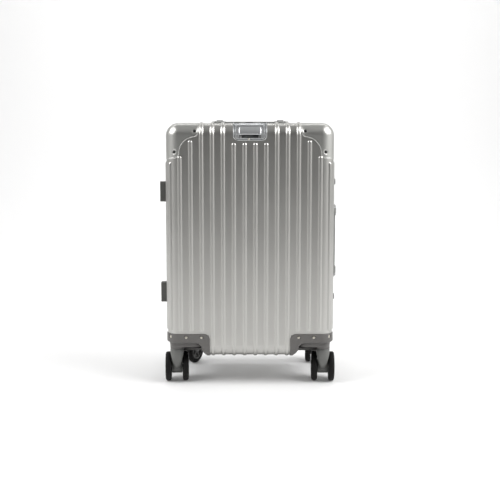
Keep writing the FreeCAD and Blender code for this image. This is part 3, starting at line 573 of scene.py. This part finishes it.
def caster(name):
    left, right = wheel_centres(name)
    axis = (right - left) / np.linalg.norm(right - left)
    forward = np.array([-axis[1], axis[0], 0.0])
    king = king_pin(name)
    middle = (left + right) / 2
    turn = np.column_stack([axis, forward, [0, 0, 1]])
    base = np.array([king[0], king[1], 0])

    # fork: a crown that narrows into one arm between the wheels, with a boss round the axle
    # each section: height, half width, front, back, and how round its corners are
    sections = ((72.6, 13.3, -13.3, 13.3, 1.0), (71.9, 13.8, -13.8, 13.8, 1.0),
                (64, 13.7, -13.8, 14.5, 1.0), (57, 12.6, -13.6, 17, 0.9), (50, 10.8, -12.6, 20, 0.8),
                (44, 9.2, -10.6, 24, 0.75), (38, 7.8, -7.2, 28, 0.7), (33, 7.1, -2.6, 31, 0.7),
                (28, 7.0, 4, 32, 0.7), (24, 6.8, 10, 31, 0.7))
    rings = []
    for height, half, front, back, roundness in sections:
        half_y, centre_y = (back - front) / 2, (back + front) / 2
        corner = min(half, half_y) * roundness
        rings.append([(x, y + centre_y, height)
                      for x, y in rounded_ring(half, half_y, corner - 0.01, 8)])
    fork = Build().add(*loft(rings[::-1]), turn, base)
    boss = [(3.1, -11.2), (12.6, -11.2), (13.9, -10.8), (14.5, -9.6), (14.6, 9.6), (13.9, 10.8),
            (12.6, 11.2), (3.1, 11.2)]
    fork.add(*lathe(boss, 56), turn @ turned((1, 0, 0)), middle)
    node = f"{name}_caster_fork"
    fork.piece(node + "_moulded", "fork_plastic", f"{name}_caster_swivel", [node], 38)

    for hand, centre, out in (("left", left, -1), ("right", right, 1)):
        outwards = turned((out, 0, 0))
        body = f"{name}_caster_{hand}_wheel"
        # heights run from the inner face at -6 to the domed outer face
        tread = [(21.9, -5.6), (25, -5.9), (27.8, -5.6), (29.5, -4.7), (30.3, -3.0), (30.5, 0),
                 (30.4, 2.6), (29.8, 4.6), (28.2, 6.0), (25.4, 6.7), (22.6, 6.9), (21.9, 6.3),
                 (21.9, -5.6)]
        tyre = Build().add(*lathe(tread, 72), turn @ outwards, centre)
        tyre.piece(f"{body[:-6]}_tyre_moulded", "tyre", body, [f"{body[:-6]}_tyre"], 50)
        rim = [(21.9, -5.2), (21.9, 5.2), (21.0, 5.9), (19.4, 6.0), (18.7, 5.0), (18.4, 2.4),
               (18.4, -2.4), (18.7, -4.8), (19.4, -5.6), (21.0, -5.8), (21.9, -5.2)]
        core = [(3.15, -5.4), (6.4, -5.4), (7.2, -4.6), (7.2, 5.0), (6.6, 6.2), (3.6, 6.9), (0.01, 7.1)]
        hub = Build().add(*lathe(rim, 60), turn @ outwards, centre)
        hub.add(*lathe(core, 36), turn @ outwards, centre)
        web = [(6.8, -1.0), (18.8, -1.0), (18.8, 1.0), (6.8, 1.0), (6.8, -1.0)]
        hub.add(*lathe(web, 48), turn @ outwards, centre)
        for spoke in range(SPOKES):
            angle = 2 * math.pi * (spoke + 0.35) / SPOKES
            turn_spoke = np.array([[math.cos(angle), -math.sin(angle), 0],
                                   [math.sin(angle), math.cos(angle), 0], [0, 0, 1]])
            verts, faces = slab(6.6, 1.7, -4.9, 5.2, 1.2, 0.5)
            hub.add(np.array(verts) + np.array([SPOKE_MIDDLE, 0, 0]), faces,
                    turn @ outwards @ turn_spoke, centre)
        hub.piece(f"{body[:-6]}_hub_moulded", "hub_plastic", body, [f"{body[:-6]}_hub"], 38)


# ---- rivets

def rivets(side):
    build, dark = Build(), Build()

    def head(rivet, s, t, lift, radius, height):
        base = wall(s, t, lift, side)
        out = wall(s, t, lift + 1, side) - base
        rivet.add(*dome(radius, height), turned(out), base)

    for across in (1, -1):
        # the corner caps' rivets get near-black domes: painted shade standing in for their shaded hollow
        # centres
        for s, t in CAP_RIVETS + ((CAP_EDGE + 7, TOP_START + 22), (SIDE_START + 22, CAP_LOW + 12)):
            head(dark, across * s, t, 0.0, 3.0, 1.2)
        for s, t in HOUSING_RIVETS:
            head(build, across * s, t, -0.3, 3.0, 0.9)
    if side < 0:
        head(build, -2.6, 502, 0.6, 2.0, 0.9)
    name, body = ("back_rivets", "case_back") if side < 0 else ("front_rivets", "lid")
    build.piece(name + "_domed", "rivet_steel", body, [name], 60)
    # the near-black domes on the corner caps are painted shade
    dark.piece(name + "_painted_shade_dots", "rivet_dark", body, [name], 60)


# ---- trolley cup and grip

CUP_HALF, CUP_LOW, CUP_CORNER = 34.0, 499.0, 10.0
SLOT = (21.6, 504.6, 510.8)
OPENING_HALF, OPENING_LOW = 31.0, 511.0


def corner_loop(half, low, high, corner, top_corner=0.3):
    loop = arc((half - corner, low + corner), corner, 270, 360, 6)
    loop += arc((half - top_corner, high - top_corner), top_corner, 0, 90, 2)
    loop += arc((-half + top_corner, high - top_corner), top_corner, 90, 180, 2)
    loop += arc((-half + corner, low + corner), corner, 180, 270, 6)
    return loop


def trolley():
    back = TOP_START + 16
    outer = [corner_loop(CUP_HALF, CUP_LOW, back, CUP_CORNER)]
    hole = [corner_loop(OPENING_HALF, OPENING_LOW, back - 3, 5.0)]
    slot = [corner_loop(SLOT[0], SLOT[1], SLOT[2], 0.8, 0.3)]
    s_lines = lines((-CUP_HALF, 5 - CUP_HALF, 0.4), (5 - CUP_HALF, CUP_HALF - 5, 0.9),
                    (CUP_HALF - 5, CUP_HALF, 0.4))
    t_lines = lines((CUP_LOW, CUP_LOW + 5, 0.4), (CUP_LOW + 5, FLAT_TOP, 0.8), (FLAT_TOP, TOP_START, 1.2),
                    (TOP_START, back, 1.2))

    def lift(s, t, inside):
        edge = np.abs(depth(s, t, outer)[0])
        gap = np.minimum(np.abs(depth(s, t, hole)[0]), np.abs(depth(s, t, slot)[0]))
        bead = 1.0 * np.exp(-((edge - 0.8) / 0.6) ** 2)
        groove = 1.9 * np.exp(-((edge - 2.4) / 0.8) ** 2)
        return 0.35 + bead - groove - 0.3 * (1 - eased(gap / 0.8))

    cup = Build().add(*sheet(s_lines, t_lines, lambda s, t, inside: inside > 0, lift, 2.6, -1,
                             outer + hole + slot))
    floor = -FACE + 42
    # the well behind the opening: three walls and a bottom
    well = [(-OPENING_HALF, -FACE + 2), (OPENING_HALF, -FACE + 2), (OPENING_HALF, floor),
            (-OPENING_HALF, floor)]
    rings = [[(x, y, z) for x, y in well] for z in (534.5, 500.2)]
    verts, faces = loft(rings, False)
    cup.add(verts, faces[1:] + [(4, 5, 6, 7)])
    cup.piece("trolley_bezel_moulded", "cup_plastic", "case_back", ["trolley_bezel"], 45)

    half, low, end = 30.7, 511.3, TOP_START + 12.4
    grip_loop = [corner_loop(half, low, end, 4.5, 3.0)]
    plate_loop = [corner_loop(21.5, low - 3, end - 1.5, 3.0, 3.0)]
    s_lines = lines((-half, half, 0.9))
    t_lines = lines((low, FLAT_TOP, 0.8), (FLAT_TOP, TOP_START, 1.2), (TOP_START, end, 1.2))
    button_low, button_high = TOP_START + FLAT_Y - 86.4, TOP_START + FLAT_Y - 74.6

    def grip_lift(s, t, inside):
        raised = eased((depth(s, t, plate_loop)[0] + 0.6) / 1.4)
        height = -0.7 - rounded_rim(inside, 0.7) + 1.1 * raised
        near = np.maximum(np.abs(s) - 9.4, np.maximum(button_low - t, t - button_high))
        return height - 0.7 * (1 - eased(near / 0.8))

    grip = Build().add(*sheet(s_lines, t_lines, lambda s, t, inside: inside > 0, grip_lift, 6.0, -1,
                              grip_loop))
    box = slab(29.6, 15.6, 511.6, 531.0, 4.0, 1.0)
    grip.add(*box, move=(0, -88.5 + 2.2, 0))
    grip.piece("trolley_grip_moulded", "grip_plastic", "trolley_inner_stage", ["trolley_grip"], 45)
    low_corner, high_corner = box_mm("trolley_button")
    centre = (low_corner + high_corner) / 2
    button = Build().add(*slab(8.6, 5.5, 530.0, 537.5, 2.4, 0.7), move=(0, centre[1] + 1.0, 0))
    button.add(*slab(24, 2.6, 528.5, 531.4, 1.0, 0.4), move=(0, -85, 0))
    button.piece("trolley_button_moulded", "dark_plastic", "trolley_button_body", ["trolley_button"], 45)


# ---- carry handles

KNUCKLE_X, PIVOT_Y = 63.65, -20.0


def handle_parts(low, rise):
    """(mounts, bail) of one handle on a wall at height 0, across X, folded to -Y.

    low is the height of the underside of the grip, rise how much higher the knuckle stands.
    """
    mounts, bail = Build(), Build()
    middle = low + 1.3
    outline = [(41.7, 0), (45.5, 3.4), (50, 6.6), (54, 8.9), (56.6, 9.8)]
    for across in (-1, 1):
        # the inner ramp and the outer ear, each a low dome with rounded flanks
        for profile in (outline, [(71.4, 9.8), (74, 9.2), (77.5, 7.0), (80.8, 3.6), (82.9, 0)]):
            rings = []
            for x, height in profile:
                ring = []
                for step in range(13):
                    angle = math.pi * step / 12
                    reach = 10 * math.copysign(abs(math.cos(angle)) ** 0.35, math.cos(angle))
                    above = max(height * (1 + rise / 5), 0.05) * max(math.sin(angle), 0) ** 0.35
                    ring.append((across * x, reach, above if 0 < step < 12 else 0.0))
                rings.append(ring)
            verts, faces = loft(rings, True)
            mounts.add(verts, faces if across < 0 else [tuple(reversed(face)) for face in faces])
        mounts.add(*slab(20.6, 10, 0, 1.2, 3.0, 0.4), move=(across * 62.3, 0, 0))
        knuckle = [(1.6, -6.6), (4.2, -6.6), (4.9, -5.9), (4.9, 5.9), (4.2, 6.6), (1.6, 6.6)]
        bail.add(*lathe(knuckle, 32), turned((1, 0, 0)), (across * KNUCKLE_X, 0, 7.1 + rise))
        rings = []
        arm = ((-1.5, 6.9 + rise, 6.4, 4.0), (-6, 5.6 + rise, 6.4, 2.4), (-14, middle, 6.3, 1.05),
               (-24, middle, 6.1, 1.05), (-32, middle, 6.1, 1.05))
        for y, z, half_x, half_z in arm:
            rings.append([(across * KNUCKLE_X + x, y, z + height)
                          for x, height in rounded_ring(half_x, half_z, 1.2, 4)])
        bail.add(*loft(rings, True))
    rings = []
    for x in np.linspace(-70.2, 70.2, 33):
        end = max(0.0, (abs(x) - 62.3) / 8) ** 2
        half_y = 11 * math.sqrt(max(1 - end * 0.75, 0.05))
        swell = 0.25 * math.cos(min(abs(x) / 50, 1) * math.pi / 2)
        ring = rounded_ring(half_y, 1.3 + swell, 1.2, 4)
        rings.append([(x, -29 + y, middle + height) for y, height in ring])
    bail.add(*loft(rings, True))
    return mounts, bail


def handles():
    mounts = Build()
    stand = np.eye(3)
    lay = np.array([[0, 0, 1], [0, 1, 0], [-1, 0, 0]], float)
    for name, turn, base, low, rise in (("top_handle", stand, (0, PIVOT_Y, TOP), 2.3, 0.0),
                                        ("side_handle", lay, (HALF_WIDTH, PIVOT_Y, HANDLE_Z), 4.6, 1.9)):
        mount, bail = handle_parts(low, rise)
        mounts.add(np.concatenate(mount.verts), mount.faces, turn, base)
        made = Build().add(np.concatenate(bail.verts), bail.faces, turn, base)
        made.piece(name + "_moulded", "handle_plastic", name + "_body", [name], 40)
    mounts.piece("handle_mounts_cast", "latch_metal", "case_back", ["handle_mounts"], 40)


# ---- everything

for side in (-1, 1):
    shell(side)
    caps(side)
    prefix = "back" if side < 0 else "front"
    for across, hand in ((-1, "left"), (1, "right")):
        housing(across, side, f"{prefix}_{hand}")
    rivets(side)
for name in ("back_left", "back_right", "front_left", "front_right"):
    caster(name)
trolley()
handles()

slots = {part["node"]: part["material_slot"] for part in frame["record"]["subparts"]}
# bevel widths of the nodes that stay as the CAD made them
SOFT = {"back_side_feet": 0.8, "front_side_feet": 0.8, "latch_bases": 0.4, "upper_latch_lever": 0.7,
        "lower_latch_lever": 0.7, "hinge_back_leaves": 0.4, "hinge_front_leaves": 0.4,
        "latch_keepers": 0.3}
for name, thing in frame["nodes"].items():
    thing.data.materials.clear()
    look = "foot_plastic" if "feet" in name else slots[name]
    thing.data.materials.append(MATERIALS[look])
    if name in SOFT:
        soften(thing, SOFT[name])

# ---- studio, in metres

SWEEP_HALF, SWEEP_BACK, SWEEP_ROUND = 7.0, 2.2, 1.8


def studio():
    scene = bpy.context.scene
    # floor and backdrop in one sweep
    profile = [(-6.0, 0.0), (SWEEP_BACK, 0.0)]
    profile += [(SWEEP_BACK + SWEEP_ROUND * math.sin(math.radians(a)),
                 SWEEP_ROUND - SWEEP_ROUND * math.cos(math.radians(a))) for a in range(6, 91, 6)]
    profile += [(SWEEP_BACK + SWEEP_ROUND, 6.0)]
    verts = [(x, y, z) for y, z in profile for x in (-SWEEP_HALF, SWEEP_HALF)]
    faces = [(2 * k, 2 * k + 1, 2 * k + 3, 2 * k + 2) for k in range(len(profile) - 1)]
    mesh = bpy.data.meshes.new("studio_sweep")
    mesh.from_pydata(verts, [], faces)
    mesh.shade_smooth()
    paper = bpy.data.materials.new("studio_paper")
    paper.use_nodes = True
    shader = paper.node_tree.nodes["Principled BSDF"]
    shader.inputs["Roughness"].default_value = 0.6
    shader.inputs["Base Color"].default_value = (0.84, 0.84, 0.84, 1)
    shader.inputs["Emission Color"].default_value = (1, 1, 1, 1)
    shader.inputs["Emission Strength"].default_value = 0.05
    mesh.materials.append(paper)
    sweep = bpy.data.objects.new("studio_sweep", mesh)
    scene.collection.objects.link(sweep)

    def area(name, place, aim, width, height, power, colour=(1, 1, 1)):
        light = bpy.data.lights.new(name, "AREA")
        light.shape, light.size, light.size_y = "RECTANGLE", width, height
        light.energy, light.color = power, colour
        lamp = bpy.data.objects.new(name, light)
        lamp.location = place
        lamp.rotation_euler = (Vector(aim) - Vector(place)).to_track_quat("-Z", "Y").to_euler()
        scene.collection.objects.link(lamp)

    area("left", (-2.3, -0.9, 2.3), (0, 0, 0.3), 2.0, 1.8, 66)
    area("right", (2.3, -0.9, 2.3), (0, 0, 0.3), 2.0, 1.8, 78)
    area("back", (0, 1.4, 3.2), (0, 3.6, 0.8), 4.5, 1.0, 62)

    world = bpy.data.worlds.new("studio")
    scene.world = world
    world.use_nodes = True
    nodes, links = world.node_tree.nodes, world.node_tree.links
    background = nodes["Background"]
    place = nodes.new("ShaderNodeTexCoord")
    split = nodes.new("ShaderNodeSeparateXYZ")
    links.new(place.outputs["Generated"], split.inputs["Vector"])
    strength = None
    for axis, low, high, at_low, at_high in (("Y", -0.98, -0.3, 0.07, 0.92), ("Z", 0.25, 1.0, 1.0, 0.45),
                                             ("X", -0.5, 0.5, 0.66, 1.10)):
        ramp = nodes.new("ShaderNodeMapRange")
        ramp.inputs["From Min"].default_value, ramp.inputs["From Max"].default_value = low, high
        ramp.inputs["To Min"].default_value, ramp.inputs["To Max"].default_value = at_low, at_high
        links.new(split.outputs[axis], ramp.inputs["Value"])
        if strength is None:
            strength = ramp.outputs["Result"]
        else:
            product = nodes.new("ShaderNodeMath")
            product.operation = "MULTIPLY"
            links.new(strength, product.inputs[0])
            links.new(ramp.outputs["Result"], product.inputs[1])
            strength = product.outputs["Value"]
    links.new(strength, background.inputs["Strength"])
    background.inputs["Color"].default_value = (1.0, 0.997, 0.99, 1)

    eye = bpy.data.cameras.new("camera")
    eye.lens, eye.sensor_width = 51.4, 36.0
    holder = bpy.data.objects.new("camera", eye)
    holder.location = (0, -1.546, 0.406)
    holder.rotation_euler = (math.radians(85), 0, 0)
    scene.collection.objects.link(holder)
    scene.camera = holder
    scene.view_settings.view_transform = "Standard"


studio()
